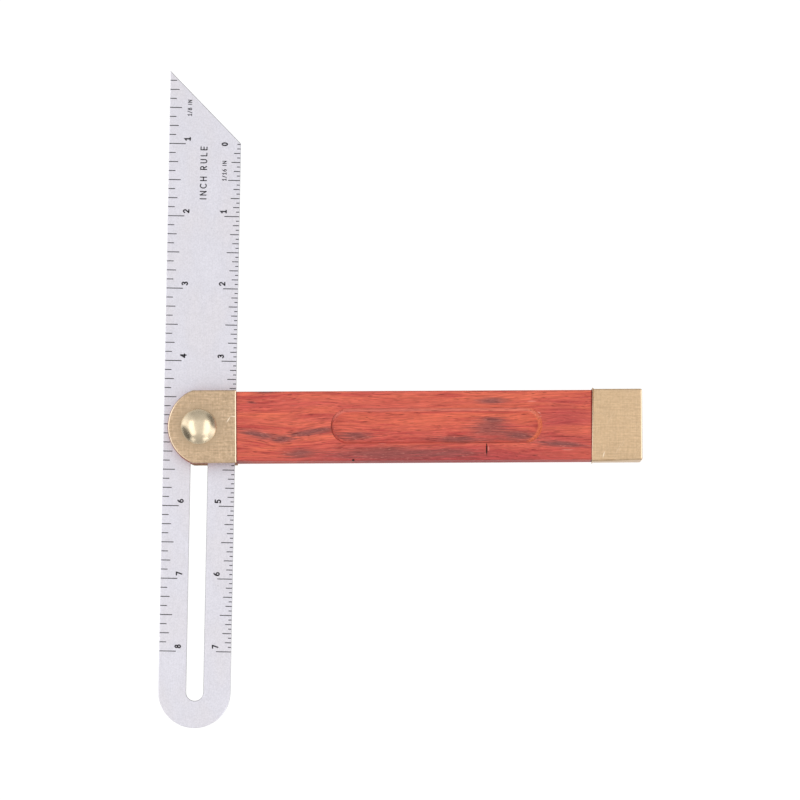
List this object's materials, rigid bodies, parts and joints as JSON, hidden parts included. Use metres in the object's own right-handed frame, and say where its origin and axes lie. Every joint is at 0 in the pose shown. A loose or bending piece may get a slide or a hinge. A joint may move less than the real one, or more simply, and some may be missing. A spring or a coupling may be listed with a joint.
{
  "type": "sliding bevel",
  "caption": "Sliding bevel with a slotted, graduated steel blade that swings and slides on a clamping bolt in a brass-bound wooden stock.",
  "frame": {"origin": "on the stock's working edge, straight over the pivot and midway through the stock's thickness", "axes": "+X from the head to the butt of the stock, +Y out of the working edge towards the blade's tip, +Z out of the front face, on the side of the bolt's domed head"},
  "size_m": [0.1692, 0.2303, 0.0374],
  "materials": {
    "stock_wood": "oiled red hardwood with a fine open grain",
    "satin_brass": "satin, finely brushed",
    "polished_brass": "polished",
    "blade_steel": "satin stainless, finely brushed"
  },
  "bodies": {
    "stock": {"handle_body": "stock_wood", "head_plate_front": "satin_brass", "head_plate_back": "satin_brass", "butt_cap": "satin_brass"},
    "bolt": {"pivot_bolt": "polished_brass"},
    "blade": {"blade": "blade_steel"},
    "washer": {"washer": "satin_brass"},
    "wing_nut": {"wing_nut": "polished_brass"}
  },
  "joints": [
    {"name": "blade_swing", "type": "hinge", "parent": "stock", "child": "bolt", "pos_m": [0, -0.01215, 0], "axis": [0, 0, 1], "range_deg": [-76, 259]},
    {"name": "blade_slide", "type": "slide", "parent": "bolt", "child": "blade", "axis": [0.0227, 0.9997, 0], "range_m": [-0.0046, 0.0908]},
    {"name": "nut_travel", "type": "slide", "parent": "bolt", "child": "washer", "axis": [0, 0, -1], "range_m": [0, 0.001]},
    {"name": "nut_turn", "type": "hinge", "parent": "washer", "child": "wing_nut", "pos_m": [0, -0.01215, -0.0114], "axis": [0, 0, -1], "range_deg": [0, 360]}
  ],
  "couplings": [
    {"joint": "nut_travel", "follows": "nut_turn", "m_per_rad": 0.00015915}
  ]
}
